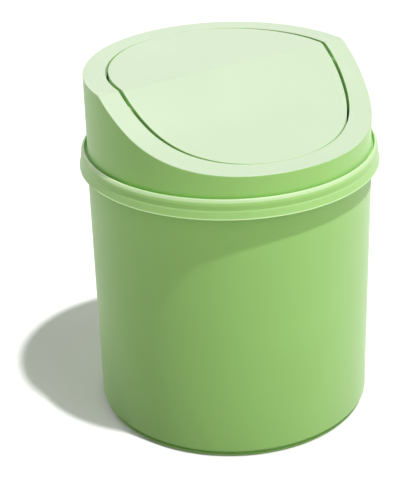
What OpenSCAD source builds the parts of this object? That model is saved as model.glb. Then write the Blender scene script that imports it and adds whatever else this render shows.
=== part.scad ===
// Countertop bin with a swing lid: a tapered bucket, a drop-in lid frame with a
// scooped top, and a round flap that swings in the frame on two moulded stub pins.
// Origin: centre of the foot, on the table. +Z up, the low side of the lid faces -Y.

/* [Bucket] */
// Height of the bucket, from the table to the top of its rim
bucket_h = 158; // [130:1:190]
// Wall thickness of the bucket
wall_t = 2; // [1.6:0.1:3]
// How much the wall draws in from the rim down to the foot
wall_draft = 0.8; // [0.4:0.1:4]
// Thickness of the bucket's floor
floor_t = 2.2; // [1.6:0.1:4]
// Radius inside, where the wall meets the floor
floor_fillet = 5; // [2:0.5:10]
// Radius of the wall's lower edge
wall_edge_round = 1; // [0.3:0.1:1.4]
// Height of the foot ring below the wall
foot_h = 3.4; // [1.5:0.1:5]
// How far the foot ring is set in from the wall
foot_inset = 1.4; // [0.6:0.1:4]
// Width of the foot ring
foot_w = 3; // [2:0.1:8]
// Diameter of the shallow dish round the moulding gate, under the floor
gate_dish_d = 14; // [8:1:30]
// Depth of the dish
gate_dish_t = 0.5; // [0.3:0.1:0.8]
// Diameter of the gate's stub in the dish
gate_stub_d = 3.2; // [2:0.1:6]

/* [Rim] */
// Free gap between the lid's collar and the inside of the rim
rim_crevice = 1.7; // [0.8:0.1:4]
// Thickness of the upright rim
rim_t = 2.3; // [1.8:0.1:4]
// Radius of the rim's outer shoulder
rim_round = 2; // [1:0.1:2.2]
// How far the seat for the lid lies below the top of the rim
seat_depth = 2.4; // [1.6:0.1:5]
// How far the bucket's wall stands out past the lid's collar
wall_proud = 0.6; // [0:0.1:1]
// Height of the rim's outer face, from its top to the foot of the lip
rim_h = 10.8; // [9:0.1:16]
// Thickness of the rim's skirt, which hangs outside the wall
rim_skirt_t = 1.8; // [1.4:0.1:2.2]
// How far the lip at the foot of the skirt steps out
lip_step = 0.8; // [0.4:0.1:2]
// Height of the lip
lip_h = 4.7; // [3:0.1:6]

/* [Lid frame] */
// Outside diameter of the lid's collar
collar_d = 156.4; // [130:0.4:190]
// Height of the lid's flat rear above the rim
lid_rise = 42; // [35:1:60]
// Wall thickness of the lid frame
lid_t = 2; // [1.6:0.1:2.6]
// Where the flat rear ends and the scoop begins, behind the middle
crease_y = 1.8; // [0:0.2:8]
// Radius of the crease between the flat rear and the scoop
crease_round = 6; // [3:0.5:12]
// Slope of the scoop next to the crease, in degrees
scoop_slope = 32.5; // [26:0.5:34]
// Length of the straight slope, before the scoop curves level at the front
scoop_run = 26; // [16:1:36]
// Width of the bezel round the mouth
bezel_w = 12.2; // [10:0.2:20]
// Depth of the plug that reaches down into the bucket
plug_depth = 11; // [6:0.5:20]
// Radial gap between the plug and the bucket's wall
plug_clear = 0.5; // [0.3:0.1:1]
// Length of the plug's tapered lead-in
plug_lead = 2.4; // [1:0.2:4]
// Thickness of the flange that lines the mouth
flange_t = 1.6; // [1.2:0.1:2.4]

/* [Flap] */
// Gap round the flap
flap_gap = 2; // [1.2:0.1:3]
// Thickness of the flap's panel
flap_t = 2; // [1.6:0.1:2.6]
// Thickness of the skirt that stiffens the flap's edge
skirt_t = 1.8; // [1.4:0.1:2.6]
// Depth of the skirt, from the top surface
skirt_h = 7; // [5:0.5:9]
// Thickness of the ribs under the panel
rib_t = 1.4; // [1:0.1:2]
// Depth of the fore-and-aft ribs, from the top surface
rib_h = 5; // [4:0.5:8]
// Distance between the two outer fore-and-aft ribs
rib_span = 56; // [30:1:80]

/* [Pivot] */
// How far the pivot's axis lies in front of the middle
pivot_front = 4.5; // [3.5:0.5:6]
// How far the pivot's axis lies below the flat rear
pivot_drop = 11; // [10:0.1:12]
// Diameter of the stub pins
pin_d = 5; // [4:0.1:5.4]
// Running clearance round a stub pin, on the radius
pin_clear = 0.1; // [0.05:0.01:0.1]
// Diameter of the shoulder that centres the flap between its bearings
shoulder_d = 7.6; // [6.4:0.1:8]
// End play at each shoulder
end_play = 0.4; // [0.3:0.1:0.8]
// Radius of the ear that carries a stub pin
ear_r = 5; // [4.5:0.1:5.5]
// Thickness of an ear
ear_t = 2.4; // [1.8:0.1:4]
// Length of a bearing block along the axis
bearing_l = 5.2; // [4:0.2:7]
// Width of a bearing block
bearing_w = 10.4; // [9.6:0.2:14]
// Depth of a bearing block below the axis
bearing_drop = 5.2; // [4.4:0.1:7]
// How much narrower the snap-in slot is than its pin
snap_bite = 0.8; // [0.3:0.1:1.2]

/* [Closing stops] */
// Gap between the closed flap and its stops
stop_gap = 0.3; // [0.2:0.1:0.6]
// Thickness of a stop tab
stop_t = 2; // [1.4:0.1:3]
// Width of a stop tab
stop_w = 9; // [5:0.5:16]
// How far a stop tab reaches under the flap's skirt
stop_reach = 1.6; // [1:0.1:2.5]
// Angle of each stop tab to either side of the rear, in degrees
stop_angle = 28; // [10:1:50]

/* [Hidden] */
$fn = 180;
cut = 1;                     // how far a cutting solid runs past what it cuts
least_round = 0.4;           // smallest radius left at the crease on a lowered surface
pin_nose = 0.8;              // length of the taper on a stub pin's tip
flat_inset = 0.2;            // keeps the corners of a flat bearing face off the round wall
web_inset = 0.2;             // keeps a bearing's ends inside the collar and the flange

body_green = [0.74, 0.88, 0.64];
lid_green = [0.78, 0.91, 0.69];
flap_green = [0.82, 0.93, 0.75];

// the lid's collar sets every radius
collar_r = collar_d / 2;
rim_in_r = collar_r + rim_crevice;
rim_r = rim_in_r + rim_t;
skirt_in_r = rim_r - rim_skirt_t;
lip_r = rim_r + lip_step;
wall_top_r = collar_r + wall_proud;
wall_foot_r = wall_top_r - wall_draft;
foot_r = wall_foot_r - foot_inset;

// heights of the bucket
seat_z = bucket_h - seat_depth;
seat_under_z = seat_z - wall_t;
lip_foot_z = bucket_h - rim_h;
floor_z = foot_h + floor_t;
wall_len = seat_under_z - foot_h;
taper = atan(wall_draft / wall_len);

// heights and radii of the lid
top_z = bucket_h + lid_rise;
plug_z = seat_z - plug_depth;
plug_r = inner_wall_r(seat_under_z) - plug_clear;
plug_in_r = plug_r - lid_t;
mouth_r = collar_r - bezel_w;
flap_r = mouth_r - flap_gap;
flange_h = skirt_h + stop_gap + stop_t;

// the scoop runs level where it meets the front of the collar
scoop_r = (collar_r + crease_y - scoop_run * cos(scoop_slope)) / sin(scoop_slope);
scoop_y = -collar_r;
scoop_z = top_z - scoop_run * sin(scoop_slope) + scoop_r * cos(scoop_slope);

// the pivot
pivot_y = -pivot_front;
pivot_z = top_z - pivot_drop;
pin_r = pin_d / 2;
bore_r = pin_r + pin_clear;
ear_x = sqrt(flap_r * flap_r - pow(ear_r + pivot_front, 2)) - flat_inset;
bearing_in_x = sqrt(mouth_r * mouth_r - pow(bearing_w / 2 + pivot_front, 2)) - flat_inset;
bearing_out_x = mouth_r + bearing_l;
shoulder_x = bearing_in_x - end_play;
pin_tip_x = bearing_out_x - end_play;
slot_w = pin_d - snap_bite;

// Radius of the wall's inside at height z
function inner_wall_r(z) = wall_foot_r + (z - foot_h) * tan(taper) - wall_t / cos(taper);

// ---------------------------------------------------------------- bucket

// Outline of the tub, its foot ring, the seat, and the rim with its skirt and lip
module bucket_outline() {
    edge_y = foot_h + wall_edge_round;
    edge_x = wall_foot_r - wall_edge_round;
    polygon([
        [0, foot_h],
        [edge_x, foot_h],
        [edge_x, edge_y],
        [wall_foot_r, edge_y],
        [wall_top_r, seat_under_z],
        [0, seat_under_z]
    ]);
    translate([edge_x, edge_y]) circle(wall_edge_round);
    square([foot_r, floor_z]);
    translate([0, seat_under_z]) square([rim_r, wall_t]);
    translate([rim_in_r, seat_under_z]) square([rim_t, bucket_h - rim_round - seat_under_z]);
    translate([rim_in_r, seat_under_z]) square([rim_t - rim_round, bucket_h - seat_under_z]);
    translate([rim_r - rim_round, bucket_h - rim_round]) circle(rim_round);
    translate([skirt_in_r, lip_foot_z]) square([rim_skirt_t, seat_z - lip_foot_z]);
    translate([skirt_in_r, lip_foot_z]) square([lip_r - skirt_in_r, lip_h]);
}

// The room inside the tub, filleted where the wall meets the floor
module bucket_room() {
    fillet_z = floor_z + floor_fillet;
    fillet_r = inner_wall_r(fillet_z) - floor_fillet / cos(taper);
    touch = [fillet_r + floor_fillet * cos(taper), fillet_z - floor_fillet * sin(taper)];
    translate([0, seat_z]) square([rim_in_r, seat_depth + cut]);
    translate([fillet_r, fillet_z]) circle(floor_fillet);
    polygon([
        [0, floor_z],
        [fillet_r, floor_z],
        [fillet_r, fillet_z],
        touch,
        [inner_wall_r(seat_z + cut), seat_z + cut],
        [0, seat_z + cut]
    ]);
}

module bucket() {
    dish_z = foot_h + gate_dish_t;
    color(body_green) {
        rotate_extrude() difference() {
            bucket_outline();
            bucket_room();
            translate([-cut, -cut]) square([foot_r - foot_w + cut, foot_h + cut]);
            translate([-cut, 0]) square([gate_dish_d / 2 + cut, dish_z]);
        }
        translate([0, 0, foot_h]) cylinder(d = gate_stub_d, h = gate_dish_t + floor_t / 2);
    }
}

// ---------------------------------------------------------------- lid surface

// Height of the lid's top surface on its straight slope, at a distance y from the middle
function slope_height(y) = top_z - (crease_y - y) * tan(scoop_slope);

// Side view of everything below the lid's top surface, lowered square to it by
// drop: flat at the rear, a rounded crease, a straight slope and a level front.
module lid_profile(drop) {
    flat_z = top_z - drop;
    round_r = max(crease_round - drop, least_round);
    arc_r = scoop_r + drop;
    hinge_y = crease_y - drop * tan(scoop_slope / 2);
    blend = round_r * tan(scoop_slope / 2);
    slope_top = [hinge_y - blend * cos(scoop_slope), flat_z - blend * sin(scoop_slope)];
    slope_foot = [scoop_y + arc_r * sin(scoop_slope), scoop_z - arc_r * cos(scoop_slope)];
    reach = collar_r + cut;
    difference() {
        union() {
            polygon([
                [-reach, 0],
                [reach, 0],
                [reach, flat_z],
                [hinge_y + blend, flat_z],
                slope_top,
                slope_foot,
                [-reach, slope_foot.y]
            ]);
            translate([hinge_y + blend, flat_z - round_r]) circle(round_r);
        }
        translate([scoop_y, scoop_z]) circle(arc_r, $fn = 720);
    }
}

module below_lid(drop) {
    rotate([90, 0, 90]) translate([0, 0, -collar_r - cut])
        linear_extrude(2 * (collar_r + cut)) lid_profile(drop);
}

// A round of radius r, from the seat up to the lid's top surface lowered by drop
module lid_round(r, drop) {
    intersection() {
        translate([0, 0, seat_z]) cylinder(r = r, h = top_z + cut - seat_z);
        below_lid(drop);
    }
}

// ---------------------------------------------------------------- lid frame

// The collar under the bezel, and the plug that reaches down into the bucket
module collar() {
    intersection() {
        rotate_extrude() polygon([
            [plug_in_r, plug_z],
            [plug_r - plug_clear, plug_z],
            [plug_r, plug_z + plug_lead],
            [plug_r, seat_z],
            [collar_r, seat_z],
            [collar_r, top_z + cut],
            [collar_r - lid_t, top_z + cut],
            [collar_r - lid_t, seat_z + lid_t],
            [plug_in_r, seat_z + lid_t]
        ]);
        below_lid(0);
    }
}

// The bezel, and the flange that lines the mouth
module bezel() {
    difference() {
        lid_round(collar_r - lid_t / 2, 0);
        below_lid(flange_h);
        difference() {
            below_lid(lid_t);
            cylinder(r = mouth_r + flange_t, h = top_z);
        }
        cylinder(r = mouth_r, h = top_z + cut);
    }
}

// One bearing: a block under the bezel, tied back to the collar by two webs. Its flat
// face for the shoulder stands out a little into the mouth, and stops below the gap.
module bearing() {
    half_w = bearing_w / 2;
    below = lid_t / 2;
    web_x = bearing_out_x - cut;
    difference() {
        translate([bearing_in_x, 0, 0]) rotate([90, 0, 90])
            linear_extrude(bearing_out_x - bearing_in_x) polygon([
                [pivot_y - half_w, pivot_z - bearing_drop],
                [pivot_y + half_w, pivot_z - bearing_drop],
                [pivot_y + half_w, slope_height(pivot_y + half_w) - below],
                [pivot_y - half_w, slope_height(pivot_y - half_w) - below]
            ]);
        translate([0, 0, pivot_z + shoulder_d / 2]) cylinder(r = mouth_r + web_inset, h = top_z);
    }
    for (y = [pivot_y - half_w, pivot_y + half_w - lid_t])
        translate([web_x, 0, 0]) rotate([90, 0, 90])
            linear_extrude(collar_r - lid_t / 2 - web_x - web_inset) polygon([
                [y, pivot_z],
                [y + lid_t, pivot_z],
                [y + lid_t, slope_height(y + lid_t) - below],
                [y, slope_height(y) - below]
            ]);
}

// The bore, the slot that snaps over the pin, and the slot's flared lead-in
module bearing_cut() {
    slot_z = pivot_z - bearing_drop - cut;
    flare = slot_w / 2 + snap_bite + cut;
    translate([bearing_in_x - cut, pivot_y, 0]) rotate([90, 0, 90])
        linear_extrude(bearing_out_x - bearing_in_x + 2 * cut) {
            translate([0, pivot_z]) circle(bore_r);
            translate([-slot_w / 2, slot_z]) square([slot_w, pivot_z - slot_z]);
            polygon([
                [-flare, slot_z],
                [flare, slot_z],
                [slot_w / 2, slot_z + cut + snap_bite],
                [-slot_w / 2, slot_z + cut + snap_bite]
            ]);
        }
}

// A tab at the foot of the flange, which the closed flap's rear edge rests over
module stop_tab() {
    tab_z = top_z - flange_h;
    inner_r = flap_r - stop_reach;
    translate([0, 0, tab_z]) difference() {
        intersection() {
            translate([-stop_w / 2, 0, 0]) cube([stop_w, mouth_r + flange_t, stop_t]);
            cylinder(r = mouth_r + flange_t / 2, h = stop_t);
        }
        translate([0, 0, -cut]) cylinder(r = inner_r, h = stop_t + 2 * cut);
    }
}

module lid_frame() {
    color(lid_green) {
        difference() {
            union() {
                collar();
                bezel();
                for (side = [0, 1]) mirror([side, 0, 0]) bearing();
            }
            for (side = [0, 1]) mirror([side, 0, 0]) bearing_cut();
        }
        for (side = [-1, 1]) rotate([0, 0, side * stop_angle]) stop_tab();
    }
}

// ---------------------------------------------------------------- flap

// The panel and the skirt round its edge
module flap_panel() {
    difference() {
        lid_round(flap_r, 0);
        below_lid(skirt_h);
        lid_round(flap_r - skirt_t, flap_t);
    }
}

// A rib that runs fore and aft under the panel, at a distance x from the middle
module long_rib(x) {
    half_y = sqrt(pow(flap_r - skirt_t / 2, 2) - x * x);
    translate([x - rib_t / 2, 0, 0]) rotate([90, 0, 90]) linear_extrude(rib_t)
        intersection() {
            difference() {
                lid_profile(flap_t / 2);
                lid_profile(rib_h);
            }
            translate([-half_y, 0]) square([2 * half_y, top_z]);
        }
}

// The spine that ties the two ears together
module spine() {
    low_z = slope_height(pivot_y) - skirt_h / cos(scoop_slope);
    high_z = slope_height(pivot_y - rib_t / 2) - flap_t / 2;
    translate([-ear_x, pivot_y - rib_t / 2, low_z]) cube([2 * ear_x, rib_t, high_z - low_z]);
}

// One ear, with the shoulder and the stub pin on its outer face
module ear() {
    root_x = ear_x - ear_t;
    nose_x = pin_tip_x - pin_nose;
    translate([root_x, pivot_y, 0]) rotate([90, 0, 90]) linear_extrude(ear_t) {
        translate([0, pivot_z]) circle(ear_r);
        polygon([
            [-ear_r, pivot_z],
            [ear_r, pivot_z],
            [ear_r, slope_height(pivot_y + ear_r) - flap_t / 2],
            [-ear_r, slope_height(pivot_y - ear_r) - flap_t / 2]
        ]);
    }
    translate([0, pivot_y, pivot_z]) rotate([0, 90, 0]) rotate_extrude() polygon([
        [0, root_x + ear_t / 2],
        [shoulder_d / 2, root_x + ear_t / 2],
        [shoulder_d / 2, shoulder_x],
        [pin_r, shoulder_x],
        [pin_r, nose_x],
        [pin_r - pin_nose, pin_tip_x],
        [0, pin_tip_x]
    ]);
}

module flap() {
    color(flap_green) {
        flap_panel();
        for (x = [-rib_span / 2, 0, rib_span / 2]) long_rib(x);
        spine();
        for (side = [0, 1]) mirror([side, 0, 0]) ear();
    }
}

bucket();
lid_frame();
flap();
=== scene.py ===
# Small round countertop bin: a tapered bucket, a lid frame that drops into its rim,
# and a round flap that swings in the lid on two moulded stub pins.
# Lengths are in millimetres up to the point where a mesh is made, then in metres.

import math

import bmesh
import bpy
import numpy as np
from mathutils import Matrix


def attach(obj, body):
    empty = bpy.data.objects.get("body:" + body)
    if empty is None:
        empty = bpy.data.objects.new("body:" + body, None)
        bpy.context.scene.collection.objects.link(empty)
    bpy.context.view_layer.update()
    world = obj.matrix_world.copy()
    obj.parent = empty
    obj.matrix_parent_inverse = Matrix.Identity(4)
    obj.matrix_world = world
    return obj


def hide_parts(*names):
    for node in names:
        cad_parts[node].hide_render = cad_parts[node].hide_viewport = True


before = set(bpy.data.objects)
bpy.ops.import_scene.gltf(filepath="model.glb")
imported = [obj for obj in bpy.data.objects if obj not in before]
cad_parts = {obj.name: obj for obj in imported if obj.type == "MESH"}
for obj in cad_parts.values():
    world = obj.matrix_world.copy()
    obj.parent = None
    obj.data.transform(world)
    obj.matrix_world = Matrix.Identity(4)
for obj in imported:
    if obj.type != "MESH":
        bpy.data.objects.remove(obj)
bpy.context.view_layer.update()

# ---------------------------------------------------------------- bucket
# The tub that holds the waste: one polypropylene moulding, round all the way, with a
# foot ring, a recessed floor, a shallow seat for the lid, and a rim whose skirt hangs
# outside the wall and ends in a lip. The wall draws in towards the foot to leave its mould.

MM = 0.001

BUCKET_H = 158.0
FOOT_Z, FOOT_R, FOOT_T = 3.4, 76.6, 3.0
WALL_TOP_R, WALL_FOOT_R, WALL_T = 78.8, 78.0, 2.0
FLOOR_T, SEAT_DEPTH = 2.2, 2.4
RIM_IN_R, RIM_R, RIM_SKIRT_T = 79.9, 82.2, 1.8
LIP_PROUD, LIP_DROP, LIP_H = 0.8, 10.8, 4.7

FLOOR_Z = FOOT_Z + FLOOR_T
SEAT_Z = BUCKET_H - SEAT_DEPTH
SEAT_UNDER_Z = SEAT_Z - WALL_T
SKIRT_IN_R = RIM_R - RIM_SKIRT_T
LIP_R = RIM_R + LIP_PROUD
LIP_FOOT_Z = BUCKET_H - LIP_DROP
LIP_TOP_Z = LIP_FOOT_Z + LIP_H


def wall_r(z):
    """Radius of the tub's outside at height z"""
    return WALL_FOOT_R + (WALL_TOP_R - WALL_FOOT_R) * (z - FOOT_Z) / (SEAT_UNDER_Z - FOOT_Z)


HOLD = 0.3


def rounded_outline(corners, closed=False, facet=15.0, hold=HOLD):
    """Points along an outline of (x, z, radius) corners, each turned into an arc.

    A point that far before and after each arc keeps the flat beside it flat when shaded."""
    count = len(corners)
    points = []
    for i, (x, z, radius) in enumerate(corners):
        at = np.array((x, z), float)
        if radius == 0 or (not closed and i in (0, count - 1)):
            points.append(at)
            continue
        sides = []
        for other in (corners[i - 1], corners[(i + 1) % count]):
            run = np.array(other[:2], float) - at
            sides.append((run / np.linalg.norm(run), np.linalg.norm(run)))
        (a, a_len), (b, b_len) = sides
        inner = math.acos(max(-1.0, min(1.0, float(a @ b))))
        reach = radius / math.tan(inner / 2)
        centre = at + (a + b) / np.linalg.norm(a + b) * radius / math.sin(inner / 2)
        turn = math.pi - inner
        steps = max(3, math.ceil(math.degrees(turn) / facet))
        start = at + a * reach - centre
        end = at + b * reach - centre
        sign = 1.0 if start[0] * end[1] > start[1] * end[0] else -1.0
        if a_len > 2 * (reach + hold):
            points.append(at + a * (reach + hold))
        for k in range(steps + 1):
            c, s = math.cos(sign * turn * k / steps), math.sin(sign * turn * k / steps)
            points.append(centre + np.array((c * start[0] - s * start[1], s * start[0] + c * start[1])))
        if b_len > 2 * (reach + hold):
            points.append(at + b * (reach + hold))
    return np.array(points)


WELD = 0.001


def closed_up(mesh, smooth_below=35.0):
    """Closes a shell: its doubles merged, its faces turned outwards, its creases kept sharp"""
    work = bmesh.new()
    work.from_mesh(mesh)
    bmesh.ops.remove_doubles(work, verts=work.verts, dist=WELD * MM)
    bmesh.ops.dissolve_degenerate(work, edges=work.edges, dist=WELD * MM / 10)
    bmesh.ops.recalc_face_normals(work, faces=work.faces)
    work.to_mesh(mesh)
    work.free()
    mesh.shade_smooth()
    mesh.set_sharp_from_angle(angle=math.radians(smooth_below))
    return mesh


def placed(name, data):
    """An object in the scene with that mesh, lamp or camera"""
    made = bpy.data.objects.new(name, data)
    bpy.context.scene.collection.objects.link(made)
    return made


def node(tree, kind, at, **settings):
    """A node of that kind. A setting that isn't one of its properties is the name of an input."""
    made = tree.nodes.new(kind)
    made.location = at
    for key, value in settings.items():
        if hasattr(made, key):
            setattr(made, key, value)
        else:
            made.inputs[key.replace("_", " ")].default_value = value
    return made


def moulded_grain():
    """Shader group: the satin skin that a spark-eroded mould leaves on plastic, and the mask for a painted
    highlight.

    Height is its pits, as large as Cell. Flow is the slow change of tone where the melt
    ran. Rub is a mask of the faint marks that handling leaves. Up is a mask of the faces
    that look up, outside Sun Radius and above Sun Height, where a paler colour is painted on as the sun's
    highlight."""
    tree = bpy.data.node_groups.new("moulded_grain", "ShaderNodeTree")
    for name in ("Cell", "Flow Size", "Rub Size", "Sun Radius", "Sun Height"):
        tree.interface.new_socket(name, in_out="INPUT", socket_type="NodeSocketFloat")
    for name in ("Height", "Flow", "Rub", "Up"):
        tree.interface.new_socket(name, in_out="OUTPUT", socket_type="NodeSocketFloat")
    into = node(tree, "NodeGroupInput", (-900, 0))
    out = node(tree, "NodeGroupOutput", (500, 0))
    place = node(tree, "ShaderNodeTexCoord", (-900, 300))

    for k, (size, mask, low, high, look) in enumerate((
        ("Cell", "Height", 0.0, 1.0, {"Detail": 3.0, "Roughness": 0.6}),
        ("Flow Size", "Flow", 0.3, 0.7, {"Detail": 2.0, "Roughness": 0.45, "Distortion": 0.6}),
        ("Rub Size", "Rub", 0.58, 0.82, {"Detail": 5.0, "Roughness": 0.65}),
    )):
        scale = node(tree, "ShaderNodeMath", (-700, 300 - 300 * k), operation="DIVIDE")
        scale.inputs[0].default_value = 1.0
        noise = node(tree, "ShaderNodeTexNoise", (-450, 300 - 300 * k), **look)
        span = node(tree, "ShaderNodeMapRange", (-200, 300 - 300 * k), From_Min=low, From_Max=high)
        tree.links.new(into.outputs[size], scale.inputs[1])
        tree.links.new(scale.outputs[0], noise.inputs["Scale"])
        tree.links.new(place.outputs["Object"], noise.inputs["Vector"])
        tree.links.new(noise.outputs["Fac"], span.inputs["Value"])
        tree.links.new(span.outputs["Result"], out.inputs[mask])

    facing = node(tree, "ShaderNodeSeparateXYZ", (-450, -600))
    tree.links.new(place.outputs["Normal"], facing.inputs[0])
    up = node(
        tree, "ShaderNodeMapRange", (-200, -600), interpolation_type="SMOOTHSTEP",
        From_Min=0.03, From_Max=0.75)
    tree.links.new(facing.outputs["Z"], up.inputs["Value"])
    flat = node(tree, "ShaderNodeVectorMath", (-700, -800), operation="MULTIPLY")
    flat.inputs[1].default_value = (1.0, 1.0, 0.0)
    tree.links.new(place.outputs["Object"], flat.inputs[0])
    radius = node(tree, "ShaderNodeVectorMath", (-450, -800), operation="LENGTH")
    tree.links.new(flat.outputs["Vector"], radius.inputs[0])
    level = node(tree, "ShaderNodeSeparateXYZ", (-450, -1000))
    tree.links.new(place.outputs["Object"], level.inputs[0])
    shown = up.outputs["Result"]
    limits = ((radius.outputs["Value"], "Sun Radius"), (level.outputs["Z"], "Sun Height"))
    for k, (value, limit) in enumerate(limits):
        past = node(tree, "ShaderNodeMath", (-200, -800 - 200 * k), operation="GREATER_THAN")
        both = node(tree, "ShaderNodeMath", (50 + 150 * k, -700), operation="MULTIPLY")
        tree.links.new(value, past.inputs[0])
        tree.links.new(into.outputs[limit], past.inputs[1])
        tree.links.new(shown, both.inputs[0])
        tree.links.new(past.outputs[0], both.inputs[1])
        shown = both.outputs[0]
    tree.links.new(shown, out.inputs["Up"])
    return tree


grain_and_highlight = moulded_grain()
GREEN = (0.355, 0.665, 0.165)
ROUGHNESS, RUB_POLISH = 0.46, 0.08
PIT_SIZE, PIT_DEPTH = 0.4, 0.006
FLOW_SIZE, RUB_SIZE = 50.0, 4.0


def moulded_plastic(name, painted_highlight, sun_radius=0.0, sun_height=0.0):
    """Satin polypropylene, its colours linear.

    Faces that look up, outside sun_radius and above sun_height, get a paler colour painted on as the sun's
    highlight."""
    material = bpy.data.materials.new(name)
    material.use_nodes = True
    tree = material.node_tree
    tree.nodes.clear()
    skin = node(
        tree, "ShaderNodeGroup", (-1100, 0), node_tree=grain_and_highlight,
        Cell=PIT_SIZE * MM, Flow_Size=FLOW_SIZE * MM, Rub_Size=RUB_SIZE * MM,
        Sun_Radius=sun_radius * MM, Sun_Height=sun_height * MM)
    # Painted highlight: the paler colour is mixed in on faces that look up, where the sun's light falls.
    tone = node(tree, "ShaderNodeMix", (-700, 200), data_type="RGBA")
    tone.inputs["A"].default_value = (*GREEN, 1.0)
    tone.inputs["B"].default_value = (*painted_highlight, 1.0)
    tree.links.new(skin.outputs["Up"], tone.inputs["Factor"])
    melt = node(tree, "ShaderNodeMapRange", (-700, -50), To_Min=0.98, To_Max=1.02)
    tree.links.new(skin.outputs["Flow"], melt.inputs["Value"])
    toned = node(tree, "ShaderNodeHueSaturation", (-450, 150))
    tree.links.new(tone.outputs["Result"], toned.inputs["Color"])
    tree.links.new(melt.outputs["Result"], toned.inputs["Value"])
    satin = node(
        tree, "ShaderNodeMapRange", (-450, -150), To_Min=ROUGHNESS, To_Max=ROUGHNESS - RUB_POLISH)
    tree.links.new(skin.outputs["Rub"], satin.inputs["Value"])
    bump = node(tree, "ShaderNodeBump", (-450, -400), Strength=1.0, Distance=PIT_DEPTH * MM)
    tree.links.new(skin.outputs["Height"], bump.inputs["Height"])
    shader = node(
        tree, "ShaderNodeBsdfPrincipled", (-100, 0), IOR=1.49, Specular_IOR_Level=0.6,
        Sheen_Weight=0.36, Sheen_Roughness=0.5)
    tree.links.new(toned.outputs["Color"], shader.inputs["Base Color"])
    tree.links.new(satin.outputs["Result"], shader.inputs["Roughness"])
    tree.links.new(bump.outputs["Normal"], shader.inputs["Normal"])
    surface = node(tree, "ShaderNodeOutputMaterial", (250, 0))
    tree.links.new(shader.outputs["BSDF"], surface.inputs["Surface"])
    return material


def turning_tree():
    """Geometry nodes: turns a profile, which lies in X and Y beside the rim of a circle, all round Z."""
    tree = bpy.data.node_groups.new("turned_shell", "GeometryNodeTree")
    for name, kind in (
        ("Profile", "NodeSocketGeometry"),
        ("Turning Radius", "NodeSocketFloat"),
        ("Facets", "NodeSocketInt"),
        ("Plastic", "NodeSocketMaterial"),
    ):
        tree.interface.new_socket(name, in_out="INPUT", socket_type=kind)
    tree.interface.new_socket("Shell", in_out="OUTPUT", socket_type="NodeSocketGeometry")
    into = node(tree, "NodeGroupInput", (-900, 0))
    profile = node(tree, "GeometryNodeMeshToCurve", (-600, 200))
    circle = node(tree, "GeometryNodeCurvePrimitiveCircle", (-600, -100))
    upright = node(tree, "GeometryNodeSetCurveNormal", (-400, -100), mode="Z_UP")
    sweep = node(tree, "GeometryNodeCurveToMesh", (-200, 0))
    weld = node(tree, "GeometryNodeMergeByDistance", (0, 0), Distance=WELD * MM)
    real = node(tree, "GeometryNodeRealizeInstances", (200, 0))
    paint = node(tree, "GeometryNodeSetMaterial", (400, 0))
    out = node(tree, "NodeGroupOutput", (600, 0))
    link = tree.links.new
    link(into.outputs["Profile"], profile.inputs["Mesh"])
    link(into.outputs["Turning Radius"], circle.inputs["Radius"])
    link(into.outputs["Facets"], circle.inputs["Resolution"])
    link(circle.outputs["Curve"], upright.inputs["Curve"])
    link(upright.outputs["Curve"], sweep.inputs["Curve"])
    link(profile.outputs["Curve"], sweep.inputs["Profile Curve"])
    link(sweep.outputs["Mesh"], weld.inputs["Geometry"])
    link(weld.outputs["Geometry"], real.inputs["Geometry"])
    link(real.outputs["Geometry"], paint.inputs["Geometry"])
    link(into.outputs["Plastic"], paint.inputs["Material"])
    link(paint.outputs["Geometry"], out.inputs["Shell"])
    return tree


turned_shell = turning_tree()
TURNING_R = 80.0


def set_inputs(modifier, **values):
    """Sets a Geometry Nodes modifier's inputs, found by their names in the tree"""
    for item in modifier.node_group.interface.items_tree:
        key = item.name.replace(" ", "_")
        if item.item_type == "SOCKET" and item.in_out == "INPUT" and key in values:
            modifier[item.identifier] = values[key]


def turned_piece(name, outline, facets, plastic):
    """A piece turned round Z from an outline of (radius, height) points that ends on the axis"""
    profile = bpy.data.meshes.new(name)
    flat = [((r - TURNING_R) * MM, -z * MM, 0.0) for r, z in outline]
    profile.from_pydata(flat, [(i, i + 1) for i in range(len(flat) - 1)], [])
    made = placed(name, profile)
    turn = made.modifiers.new("turned", "NODES")
    turn.node_group = turned_shell
    set_inputs(turn, Turning_Radius=TURNING_R * MM, Facets=facets, Plastic=plastic)
    shaped = made.evaluated_get(bpy.context.evaluated_depsgraph_get())
    plain = bpy.data.meshes.new_from_object(shaped)
    made.modifiers.clear()
    made.data = closed_up(plain)
    return made


# The rim's top and outside, where the sun reaches, get a painted highlight, but not the tub's inside.
RIM_PAINTED_HIGHLIGHT = (0.52, 0.68, 0.39)
past_edge = 0.1
bucket_green = moulded_plastic("bucket_green", RIM_PAINTED_HIGHLIGHT, sun_radius=RIM_IN_R + past_edge)

fillet_r = 5.0
gate_dish_r, gate_stub_r, gate_depth = 7.0, 1.6, 0.5
inner_foot_r = wall_r(FLOOR_Z) - WALL_T
foot_bead, foot_groove = 1.0, 1.8

# The lip has a thin bead at its foot and leans in to the band above it. The rim's top edge
# is a wide shoulder, of corners given as inset from the side, drop from the top and radius.
lip_bead, bead_step = 0.45, 0.27
lip_lean, lip_fall = 0.9, 0.5
band_in, band_rise = 0.35, 0.3
shoulder = ((band_in, 3.2, 2.0), (0.6, 1.7, 1.5), (1.5, 0.3, 0.8))

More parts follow.
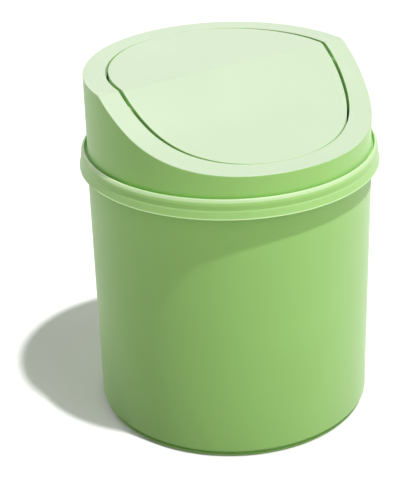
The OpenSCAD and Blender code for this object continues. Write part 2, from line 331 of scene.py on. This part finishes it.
bucket = turned_piece("bucket_shell", rounded_outline([
    (0, FOOT_Z, 0),
    (gate_stub_r, FOOT_Z, 0.2),
    (gate_stub_r, FOOT_Z + gate_depth, 0.15),
    (gate_dish_r, FOOT_Z + gate_depth, 0.2),
    (gate_dish_r, FOOT_Z, 0.2),
    (FOOT_R - FOOT_T, FOOT_Z, 0.4),
    (FOOT_R - FOOT_T, 0, 0.5),
    (FOOT_R, 0, 0.3),
    (FOOT_R, foot_bead, 0.3),
    (FOOT_R - foot_groove, foot_bead, 0.3),
    (FOOT_R - foot_groove, FOOT_Z, 0.3),
    (WALL_FOOT_R, FOOT_Z, 0.6),
    (WALL_TOP_R, SEAT_UNDER_Z, 0.4),
    (SKIRT_IN_R, SEAT_UNDER_Z, 0.4),
    (SKIRT_IN_R, LIP_FOOT_Z, 0.3),
    (LIP_R, LIP_FOOT_Z, 0.1),
    (LIP_R, LIP_FOOT_Z + lip_bead, 0.15),
    (LIP_R - bead_step, LIP_FOOT_Z + lip_bead + bead_step, 0.3),
    (LIP_R - lip_lean, LIP_TOP_Z - lip_fall, 0.9),
    (RIM_R - band_in, LIP_TOP_Z + band_rise, 0.7),
    *((RIM_R - inset, BUCKET_H - drop, radius) for inset, drop, radius in shoulder),
    (RIM_IN_R, BUCKET_H, 0.15),
    (RIM_IN_R, SEAT_Z, 0.4),
    (wall_r(SEAT_Z) - WALL_T, SEAT_Z, 0.5),
    (inner_foot_r, FLOOR_Z, fillet_r),
    (0, FLOOR_Z, 0),
]), facets=288, plastic=bucket_green)
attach(bucket, "bucket")
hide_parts("bucket")

# ---------------------------------------------------------------- lid frame
# One moulding in the same plastic: a collar that stands in the rim, a bezel round the
# mouth, the flange that lines the mouth, and a plug that reaches down into the bucket.
# Its top is level at the rear, and in front of the crease above the pivot it scoops down.

LID_RISE = 42.0
TOP_Z = BUCKET_H + LID_RISE
COLLAR_R = 78.2
MOUTH_R = 66.0
LID_T = 2.0
CREASE_Y, CREASE_ROUND, CREASE_TIGHTEST = 1.8, 6.0, 0.4
SLOPE = math.radians(32.5)
SCOOP_RUN = 26.0
SCOOP_R = (COLLAR_R + CREASE_Y - SCOOP_RUN * math.cos(SLOPE)) / math.sin(SLOPE)
SCOOP_Z = TOP_Z - SCOOP_RUN * math.sin(SLOPE) + SCOOP_R * math.cos(SLOPE)


def lid_height(y, drop=0.0):
    """Height of the lid's top surface at y, or of the surface that lies drop below it"""
    y = np.asarray(y, float)
    level = TOP_Z - drop
    bend = max(CREASE_ROUND - drop, CREASE_TIGHTEST)
    scoop = SCOOP_R + drop
    hinge = CREASE_Y - drop * math.tan(SLOPE / 2)
    ease = bend * math.tan(SLOPE / 2)
    crease = level - bend + np.sqrt(np.maximum(bend**2 - (y - hinge - ease)**2, 0))
    straight = level - (hinge - y) * math.tan(SLOPE)
    curved = SCOOP_Z - np.sqrt(np.maximum(scoop**2 - (y + COLLAR_R)**2, 0))
    return np.select(
        [y >= hinge + ease, y >= hinge - ease * math.cos(SLOPE), y >= scoop * math.sin(SLOPE) - COLLAR_R],
        [np.full_like(y, level), crease, straight],
        curved,
    )


def edge_drop(inset, radius):
    """How far a rounded edge lies below the surface, at that inset from its side"""
    short = np.clip(radius - inset, 0, radius)
    return radius - np.sqrt(radius**2 - short**2)


def edge_insets(radius, steps=6):
    """Insets that follow a rounded edge from its side to where it meets the surface"""
    return [radius * (1 - math.sin(math.pi / 2 * (1 - k / steps))) for k in range(steps + 1)]


def turn_angles(step=1.0, fine=0.2, fine_to=4.0, ease_to=12.0):
    """Angles round the lid, closer together where the crease crosses it at 0 and 180 degrees"""
    quarter = [0.0]
    while quarter[-1] < 90:
        at = quarter[-1]
        share = min(max((at - fine_to) / (ease_to - fine_to), 0), 1)
        quarter.append(at + fine + (step - fine) * share)
    quarter = [a * 90 / quarter[-1] for a in quarter]
    half = quarter + [180 - a for a in quarter[-2::-1]]
    return np.radians(half + [180 + a for a in half[1:-1]])


angles = turn_angles()


def spoke_points(r, z, even_to=0.1, eased_by=0.3):
    """Points of one loop round the lid. Near the crease they keep to one y at every radius."""
    r = np.broadcast_to(np.asarray(r, float), angles.shape)
    rise = np.sin(angles)
    share = np.clip((eased_by - np.abs(rise)) / (eased_by - even_to), 0, 1)
    share = share * share * (3 - 2 * share)
    s = rise * (1 + share * (COLLAR_R / r - 1))
    x = np.sign(np.cos(angles)) * np.sqrt(np.maximum(1 - s * s, 0)) * r
    y = s * r
    height = z(y) if callable(z) else np.broadcast_to(np.asarray(z, float), angles.shape)
    return np.stack([x, y, height], axis=1)


def looped_faces(rings, around, closed=True):
    """Quads between rings of points that each go all the way round"""
    faces = []
    for i in range(rings if closed else rings - 1):
        a, b = i * around, (i + 1) % rings * around
        faces += [(a + k, a + (k + 1) % around, b + (k + 1) % around, b + k) for k in range(around)]
    return faces


def lowered(drop, lift=0.0):
    """Gives the height at y on the surface that lies drop below the lid's top, raised by lift"""
    return lambda y: lid_height(y, drop) + lift


FLANGE_T, FLANGE_H = 1.6, 9.3
PLUG_H, PLUG_PLAY, PLUG_LEAD, PLUG_NOSE = 11.0, 0.5, 2.4, 0.5
COLLAR_EDGE, MOUTH_EDGE, FLANGE_EDGE = 0.5, 0.3, 0.3
mouth_corner, collar_corner, clear_of_corner = 0.3, 0.4, 1.0
flange_out_r = MOUTH_R + FLANGE_T
collar_in_r = COLLAR_R - LID_T
collar_low_z = BUCKET_H + 4
plug_z = SEAT_Z - PLUG_H
plug_r = wall_r(SEAT_UNDER_Z) - WALL_T - PLUG_PLAY
plug_in_r = plug_r - LID_T

# The loops go in over the bezel, down the mouth and up behind its flange, out under the
# bezel, then down the collar's inside and the plug's, and back up outside them.
rings = []
for inset in edge_insets(COLLAR_EDGE):
    rings.append((COLLAR_R - inset, lowered(0, -edge_drop(inset, COLLAR_EDGE))))
for r in np.linspace(COLLAR_R - COLLAR_EDGE - HOLD, MOUTH_R + MOUTH_EDGE + HOLD, 14):
    rings.append((r, lowered(0)))
for inset in edge_insets(MOUTH_EDGE)[::-1]:
    rings.append((MOUTH_R + inset, lowered(0, -edge_drop(inset, MOUTH_EDGE))))
rings += [
    (MOUTH_R, lowered(0, -MOUTH_EDGE - HOLD)),
    (MOUTH_R, lowered(FLANGE_H, FLANGE_EDGE)),
    (MOUTH_R + FLANGE_EDGE, lowered(FLANGE_H)),
    (flange_out_r - FLANGE_EDGE, lowered(FLANGE_H)),
    (flange_out_r, lowered(FLANGE_H, FLANGE_EDGE)),
    (flange_out_r, lowered(LID_T, -mouth_corner)),
    (flange_out_r + mouth_corner, lowered(LID_T)),
]
for r in np.linspace(flange_out_r + clear_of_corner, collar_in_r - clear_of_corner, 6):
    rings.append((r, lowered(LID_T)))
rings += [
    (collar_in_r - collar_corner, lowered(LID_T)),
    (collar_in_r, lowered(LID_T, -collar_corner)),
]
foot = rounded_outline([
    (collar_in_r, collar_low_z, 0),
    (collar_in_r, SEAT_Z + LID_T, 0.4),
    (plug_in_r, SEAT_Z + LID_T, 0.4),
    (plug_in_r, plug_z, 0.4),
    (plug_r - PLUG_NOSE, plug_z, 0.4),
    (plug_r, plug_z + PLUG_LEAD, 0.8),
    (plug_r, SEAT_Z, 0.3),
    (COLLAR_R, SEAT_Z, 0.4),
    (COLLAR_R, collar_low_z, 0),
])
rings += [(r, z) for r, z in foot[1:-1]]
rings.append((COLLAR_R, lowered(0, -COLLAR_EDGE - HOLD)))

points = np.concatenate([spoke_points(r, z) for r, z in rings])
faces = looped_faces(len(rings), len(angles))


def prism(outline, axis, low, high):
    """Points and faces of a straight bar whose outline is cut square to axis, from low to high"""
    count = len(outline)
    bar = []
    for at in (low, high):
        for a, b in outline:
            bar.append({"x": (at, a, b), "y": (a, at, b), "z": (a, b, at)}[axis])
    sides = [(i, (i + 1) % count, count + (i + 1) % count, count + i) for i in range(count)]
    return np.array(bar), sides + [tuple(range(count)), tuple(range(2 * count - 1, count - 1, -1))]


def add_shell(points, faces, shell):
    """Adds a closed shell's points and faces to a piece's own"""
    more, its_faces = shell
    start = len(points)
    return np.concatenate([points, more]), faces + [tuple(start + i for i in face) for face in its_faces]


def mirrored(shell):
    """The same shell on the other side of the middle, its faces turned to suit"""
    more, its_faces = shell
    return more * np.array((-1, 1, 1)), [face[::-1] for face in its_faces]


def in_skin(y, skin):
    """Height at y half way through the skin, where a part that hangs under it ends"""
    return float(lid_height(y)) - skin / 2


# The two bearings hang under the bezel at the ends of the crease. Each has a bore that
# is open below through a slot narrower than the pin, so that the pin snaps in. A low flat
# boss on its face, inside the mouth, holds the flap's shoulder.
PIVOT_DROP = 11.0
PIVOT_Y, PIVOT_Z = -4.5, TOP_Z - PIVOT_DROP
BORE_R, SLOT_HALF, SHOULDER_R = 2.6, 2.1, 3.8
BEARING_HALF, BEARING_DEPTH, BOSS_PROUD = 5.2, 5.2, 0.2
BEARING_FOOT_Z = PIVOT_Z - BEARING_HALF
BEARING_IN_X = math.sqrt(MOUTH_R**2 - (BEARING_HALF - PIVOT_Y)**2) - BOSS_PROUD
BEARING_OUT_X = MOUTH_R + BEARING_DEPTH
flare_half, flare_h, flange_bite = 2.9, 0.8, 0.25
slot_turn = math.asin(SLOT_HALF / BORE_R)
bore = [
    (PIVOT_Y + BORE_R * math.cos(a), PIVOT_Z + BORE_R * math.sin(a))
    for a in np.linspace(-0.5 * math.pi - slot_turn, -2.5 * math.pi + slot_turn, 40)
]


def bearing_outline(top):
    """The bearing seen along the pivot's axis. top gives its height at each side."""
    return [
        (PIVOT_Y - BEARING_HALF, BEARING_FOOT_Z),
        (PIVOT_Y - flare_half, BEARING_FOOT_Z),
        (PIVOT_Y - SLOT_HALF, BEARING_FOOT_Z + flare_h),
        *bore,
        (PIVOT_Y + SLOT_HALF, BEARING_FOOT_Z + flare_h),
        (PIVOT_Y + flare_half, BEARING_FOOT_Z),
        (PIVOT_Y + BEARING_HALF, BEARING_FOOT_Z),
        (PIVOT_Y + BEARING_HALF, top(PIVOT_Y + BEARING_HALF)),
        (PIVOT_Y - BEARING_HALF, top(PIVOT_Y - BEARING_HALF)),
    ]


def bearing_shell():
    """Points and faces of a bearing: the low boss inside the mouth, then the full block"""
    boss = bearing_outline(lambda y: PIVOT_Z + SHOULDER_R)
    block = bearing_outline(lambda y: in_skin(y, LID_T))
    flange_x = MOUTH_R + flange_bite
    count = len(boss)
    shell = [
        (x, y, z)
        for x, outline in ((BEARING_IN_X, boss), (flange_x, boss), (flange_x, block), (BEARING_OUT_X, block))
        for y, z in outline
    ]
    ends = [tuple(range(count)), tuple(range(4 * count - 1, 3 * count - 1, -1))]
    return np.array(shell), looped_faces(4, count, closed=False) + ends


# Two webs tie each bearing to the collar, and their ends lie inside its block and wall.
web_bite, wall_bite = 1.0, 0.8
fittings = [bearing_shell()]
for y in (PIVOT_Y - BEARING_HALF, PIVOT_Y + BEARING_HALF - LID_T):
    web = [
        (y, PIVOT_Z), (y + LID_T, PIVOT_Z),
        (y + LID_T, in_skin(y + LID_T, LID_T)), (y, in_skin(y, LID_T)),
    ]
    fittings.append(prism(web, "x", BEARING_OUT_X - web_bite, collar_in_r + wall_bite))

# Two tabs at the foot of the flange stop the flap when it closes.
STOP_ANGLE, STOP_HALF, STOP_T = 28.0, 4.5, 2.0
stop_in_r, stop_out_r = 62.4, MOUTH_R + FLANGE_T / 2
tab = []
for r, way in ((stop_in_r, 1), (stop_out_r, -1)):
    half = math.asin(STOP_HALF / r)
    for k in np.linspace(-way * half, way * half, 9):
        a = math.pi / 2 + k - math.radians(STOP_ANGLE)
        tab.append((r * math.cos(a), r * math.sin(a)))
fittings.append(prism(tab, "z", TOP_Z - FLANGE_H, TOP_Z - FLANGE_H + STOP_T))
for fitting in fittings:
    points, faces = add_shell(points, faces, fitting)
    points, faces = add_shell(points, faces, mirrored(fitting))


def moulding(name, points, faces, plastic):
    """A piece from its points in mm and the faces between them, in its plastic"""
    mesh = bpy.data.meshes.new(name)
    mesh.from_pydata((points * MM).tolist(), [], faces)
    mesh.materials.append(plastic)
    return placed(name, closed_up(mesh))


# The lid's top, where the sun reaches, gets a painted highlight, but not the plug inside the bucket.
LID_PAINTED_HIGHLIGHT = (0.475, 0.585, 0.41)
above_rim = 1.0
lid_green = moulded_plastic("lid_green", LID_PAINTED_HIGHLIGHT, sun_height=BUCKET_H + above_rim)
lid = moulding("lid_frame_shell", points, faces, lid_green)
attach(lid, "lid")
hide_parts("lid_frame")

# ---------------------------------------------------------------- flap
# The round panel that people push: one moulding that carries on the lid's level rear and
# scooped front, with a skirt, three ribs and a spine below to keep it stiff.
# Two ears under the crease carry the stub pins that it swings on.

FLAP_R = 64.0
FLAP_T, SKIRT_T, SKIRT_H = 2.0, 1.8, 7.0
FLAP_EDGE = 0.3
FLAP_STRETCH = 1.028  # the panel is a little longer than it is wide

# Rows of points lie evenly from front to rear, and close together across the crease.
crease_from, crease_to, row_step, row_room = -0.4, 4.6, 0.25, 0.004
crease_rows = np.arcsin(np.arange(crease_from, crease_to, row_step) / FLAP_R)
turn = np.radians(np.linspace(-90, 90, 145))
clear = (turn < crease_rows[0] - row_room) | (turn > crease_rows[-1] + row_room)
rows = np.sin(np.unique(np.concatenate([turn[clear], crease_rows])))
rows[0], rows[-1] = -1.0, 1.0
inner_rows = rows[1:-1]
around = 2 * len(rows) - 2


def flap_ring(r, z):
    """One loop of the flap: the front point, back along +X, the rear point, forward along -X"""
    s = np.concatenate([rows, inner_rows[::-1]])
    side = np.concatenate([np.ones(len(rows)), -np.ones(len(inner_rows))])
    y = s * r * FLAP_STRETCH
    return np.stack([side * r * np.sqrt(np.maximum(1 - s * s, 0)), y, z(y)], axis=1)


def flap_sheet(r, z, first, ring_start, across=17):
    """Points and faces that fill a loop in rows from side to side. first is the index of its first point."""
    inside = np.sin(np.linspace(-math.pi / 2, math.pi / 2, across))[1:-1]
    s = np.repeat(inner_rows, len(inside))
    x = np.tile(inside, len(inner_rows)) * r * np.sqrt(1 - s * s)
    y = s * r * FLAP_STRETCH
    fill = np.stack([x, y, z(y)], axis=1)
    last = len(rows) - 1

    def at(row, column):
        if row in (0, last):
            return ring_start + row
        if column == 0:
            return ring_start + around - row
        if column == across - 1:
            return ring_start + row
        return first + (row - 1) * len(inside) + column - 1

    quads = []
    for row in range(last):
        for column in range(across - 1):
            face = (at(row, column), at(row, column + 1), at(row + 1, column + 1), at(row + 1, column))
            face = tuple(dict.fromkeys(face))
            if len(face) > 2:
                quads.append(face)
    return fill, quads


under_r = FLAP_R - SKIRT_T
skirt_edge, under_corner = 0.25, 0.3
flap_rings = [(FLAP_R - FLAP_EDGE - HOLD, lowered(0))]
for inset in edge_insets(FLAP_EDGE)[::-1]:
    flap_rings.append((FLAP_R - inset, lowered(0, -edge_drop(inset, FLAP_EDGE))))
flap_rings += [
    (FLAP_R, lowered(0, -FLAP_EDGE - HOLD)),
    (FLAP_R, lowered(SKIRT_H, 2 * skirt_edge)),
    (FLAP_R, lowered(SKIRT_H, skirt_edge)),
    (FLAP_R - skirt_edge, lowered(SKIRT_H)),
    (under_r + skirt_edge, lowered(SKIRT_H)),
    (under_r, lowered(SKIRT_H, skirt_edge)),
    (under_r, lowered(FLAP_T, -under_corner)),
    (under_r - under_corner, lowered(FLAP_T)),
]
points = np.concatenate([flap_ring(r, z) for r, z in flap_rings])
faces = looped_faces(len(flap_rings), around, closed=False)
for ring, turned in ((0, False), (len(flap_rings) - 1, True)):
    fill, quads = flap_sheet(*flap_rings[ring], len(points), ring * around)
    points = np.concatenate([points, fill])
    faces += [q[::-1] for q in quads] if turned else quads

# Ribs run fore and aft under the panel, and a spine ties the two ears together.
RIB_T, RIB_H, RIB_SPAN = 1.4, 5.0, 56.0
rib_fine_from, rib_fine_to = -2.0, 4.5


def rib(x, soft=0.3, mid=0.09):
    """A rib under the panel at x, its lower edges rounded by soft through a point mid from each face"""
    half_y = math.sqrt((FLAP_R - SKIRT_T / 2)**2 - x * x) * FLAP_STRETCH
    fine = np.arange(rib_fine_from, rib_fine_to, row_step)
    y = np.unique(np.concatenate([np.linspace(-half_y, half_y, 90), fine]))
    high, low = lid_height(y, FLAP_T / 2), lid_height(y, RIB_H)
    half = RIB_T / 2
    section = [
        (-half, high), (-half, low + soft), (-half + mid, low + mid), (-half + soft, low),
        (half - soft, low), (half - mid, low + mid), (half, low + soft), (half, high),
    ]
    count = len(section)
    bar = np.concatenate([np.stack([np.full_like(y, x + dx), y, z], axis=1) for dx, z in section])
    n = len(y)
    sides = [
        (i * n + k, (i + 1) % count * n + k, (i + 1) % count * n + k + 1, i * n + k + 1)
        for i in range(count) for k in range(n - 1)
    ]
    ends = [tuple(i * n for i in range(count)), tuple(i * n + n - 1 for i in range(count))[::-1]]
    return bar, sides + ends


for x in (-RIB_SPAN / 2, 0.0, RIB_SPAN / 2):
    points, faces = add_shell(points, faces, rib(x))

ear_t, ear_r, ear_inset = 2.4, 5.0, 0.2
ear_x = math.sqrt(FLAP_R**2 - (ear_r - PIVOT_Y)**2) - ear_inset
spine_low = float(lid_height(PIVOT_Y)) - SKIRT_H / math.cos(SLOPE)
spine_high = in_skin(PIVOT_Y - RIB_T / 2, FLAP_T)
spine = rounded_outline([
    (PIVOT_Y - RIB_T / 2, spine_low, 0.3), (PIVOT_Y + RIB_T / 2, spine_low, 0.3),
    (PIVOT_Y + RIB_T / 2, spine_high, 0), (PIVOT_Y - RIB_T / 2, spine_high, 0),
], closed=True, hold=math.inf)
points, faces = add_shell(points, faces, prism(spine, "x", -ear_x, ear_x))

# Each ear hangs below the crease. Its shoulder centres the flap between the bearings,
# and its stub pin turns in the bearing's bore.
ear_outline = [
    (PIVOT_Y + ear_r * math.cos(a), PIVOT_Z + ear_r * math.sin(a))
    for a in np.linspace(math.pi, 2 * math.pi, 37)
]
ear_outline += [(y, in_skin(y, FLAP_T)) for y in (PIVOT_Y + ear_r, PIVOT_Y - ear_r)]


def turned_pin(corners, facets=72):
    """A closed pin turned round the pivot's axis, from (distance along X, radius) corners"""
    outline = rounded_outline(corners, facet=18, hold=HOLD / 2)
    a = np.linspace(0, 2 * math.pi, facets, endpoint=False)
    loops = [
        np.stack([np.full(facets, x), PIVOT_Y + r * np.cos(a), PIVOT_Z + r * np.sin(a)], axis=1)
        for x, r in outline[1:-1]
    ]
    tips = np.array([(outline[0][0], PIVOT_Y, PIVOT_Z), (outline[-1][0], PIVOT_Y, PIVOT_Z)])
    shell = np.concatenate(loops + [tips])
    count = len(loops) * facets
    quads = looped_faces(len(loops), facets, closed=False)
    quads += [(k, count, (k + 1) % facets) for k in range(facets)]
    end = count - facets
    quads += [(end + (k + 1) % facets, count + 1, end + k) for k in range(facets)]
    return shell, quads


end_play, pin_r, pin_nose = 0.4, 2.5, 0.8
shoulder_x, pin_tip_x = BEARING_IN_X - end_play, BEARING_OUT_X - end_play
pin = turned_pin([
    (ear_x - ear_t / 2, 0, 0), (ear_x - ear_t / 2, SHOULDER_R, 0.2), (shoulder_x, SHOULDER_R, 0.3),
    (shoulder_x, pin_r, 0.2), (pin_tip_x - pin_nose, pin_r, 0.3),
    (pin_tip_x, pin_r - pin_nose, 0.3), (pin_tip_x, 0, 0),
])
for shell in (prism(ear_outline, "x", ear_x - ear_t, ear_x), pin):
    points, faces = add_shell(points, faces, shell)
    points, faces = add_shell(points, faces, mirrored(shell))

# The flap's faces that look up get the same painted highlight as the lid's top.
flap_green = moulded_plastic("flap_green", LID_PAINTED_HIGHLIGHT)
flap = moulding("flap_shell", points, faces, flap_green)
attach(flap, "flap")
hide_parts("flap")

# ---------------------------------------------------------------- table and light
# A seamless white table top, which keeps the bin's shadow, under a dim sky and three
# distant lamps. The camera sees the table and the sky as white, whatever light they give.

table_half = 6.0
corners = [(-table_half, -table_half, 0), (table_half, -table_half, 0)]
corners += [(table_half, table_half, 0), (-table_half, table_half, 0)]
table_mesh = bpy.data.meshes.new("table_top")
table_mesh.from_pydata(corners, [], [(0, 1, 2, 3)])
table = placed("table_top", table_mesh)
paper = bpy.data.materials.new("table_white")
paper.use_nodes = True
tree = paper.node_tree
tree.nodes.clear()


def seen_ray(tree, at):
    """1 where a ray comes from the camera, or is one that gloss or glass sends on"""
    path = node(tree, "ShaderNodeLightPath", at)
    total = path.outputs["Is Camera Ray"]
    for k, name in enumerate(("Is Glossy Ray", "Is Transmission Ray")):
        either = node(tree, "ShaderNodeMath", (at[0] + 200 + 200 * k, at[1]), operation="MAXIMUM")
        tree.links.new(total, either.inputs[0])
        tree.links.new(path.outputs[name], either.inputs[1])
        total = either.outputs[0]
    return total


# The table throws no light on the foot from close by, and more from further away.
TABLE_SEEN, TABLE_BOUNCE = 0.90, 0.38
bounce_from, bounce_full = 0.08, 0.5
bounce = node(tree, "ShaderNodeBsdfDiffuse", (-200, 100))
place = node(tree, "ShaderNodeTexCoord", (-1000, 0))
far = node(tree, "ShaderNodeVectorMath", (-800, 0), operation="LENGTH")
share = node(
    tree, "ShaderNodeMapRange", (-500, 0), From_Min=bounce_from, From_Max=bounce_full,
    To_Min=0.0, To_Max=TABLE_BOUNCE)
tree.links.new(place.outputs["Object"], far.inputs[0])
tree.links.new(far.outputs["Value"], share.inputs["Value"])
tree.links.new(share.outputs["Result"], bounce.inputs["Color"])
white = node(tree, "ShaderNodeBsdfDiffuse", (-200, -100), Color=(TABLE_SEEN, TABLE_SEEN, TABLE_SEEN, 1))
pick = node(tree, "ShaderNodeMixShader", (50, 0))
surface = node(tree, "ShaderNodeOutputMaterial", (250, 0))
tree.links.new(seen_ray(tree, (-800, 300)), pick.inputs[0])
tree.links.new(bounce.outputs[0], pick.inputs[1])
tree.links.new(white.outputs[0], pick.inputs[2])
tree.links.new(pick.outputs[0], surface.inputs["Surface"])
table.data.materials.append(paper)

SKY_LOW, SKY_HIGH = 0.69, 0.1
SKY_TINT = (0.97, 1.0, 0.90, 1.0)
world = bpy.data.worlds.new("studio")
bpy.context.scene.world = world
world.use_nodes = True
tree = world.node_tree
tree.nodes.clear()
white = node(tree, "ShaderNodeBackground", (-200, 100), Color=(1, 1, 1, 1), Strength=1.0)
way = node(tree, "ShaderNodeTexCoord", (-1000, -200))
height = node(tree, "ShaderNodeSeparateXYZ", (-800, -200))
rise = node(tree, "ShaderNodeMapRange", (-500, -200), To_Min=SKY_LOW, To_Max=SKY_HIGH)
fill = node(tree, "ShaderNodeBackground", (-200, -100), Color=SKY_TINT)
pick = node(tree, "ShaderNodeMixShader", (0, 0))
out = node(tree, "ShaderNodeOutputWorld", (250, 0))
tree.links.new(way.outputs["Generated"], height.inputs[0])
tree.links.new(height.outputs["Z"], rise.inputs["Value"])
tree.links.new(rise.outputs["Result"], fill.inputs["Strength"])
tree.links.new(seen_ray(tree, (-800, 300)), pick.inputs[0])
tree.links.new(fill.outputs[0], pick.inputs[1])
tree.links.new(white.outputs[0], pick.inputs[2])
tree.links.new(pick.outputs[0], out.inputs["Surface"])


def sun(name, azimuth, elevation, strength, spread):
    """A distant lamp, its angles in degrees. Azimuth 0 is in front of the bin and 90 is at +X."""
    lamp = bpy.data.lights.new(name, "SUN")
    lamp.energy = strength
    lamp.angle = math.radians(spread)
    placed(name, lamp).rotation_euler = (math.radians(90 - elevation), 0, math.radians(azimuth))


sun("key_light", azimuth=22.7, elevation=71.4, strength=2.6, spread=2.2)
sun("side_light", azimuth=32, elevation=25, strength=0.95, spread=60.0)
sun("rear_light", azimuth=-170, elevation=37, strength=0.8, spread=40.0)

# ---------------------------------------------------------------- camera
# The place and lens that the photograph was taken with, from its ellipses and outline.
# Its place is in metres, its turn in degrees and its lens in millimetres.

lens = bpy.data.cameras.new("photo_camera")
lens.sensor_fit = "VERTICAL"
lens.sensor_height = 36.0
lens.sensor_width = 36.0
lens.lens = 109.83
lens.clip_start = 0.05
camera = placed("photo_camera", lens)
camera.location = (-0.395777, -0.631494, 0.465575)
camera.rotation_euler = [math.radians(a) for a in (63.65915, 1.58453, -31.50438)]
bpy.context.scene.camera = camera
bpy.context.scene.view_settings.view_transform = "Standard"
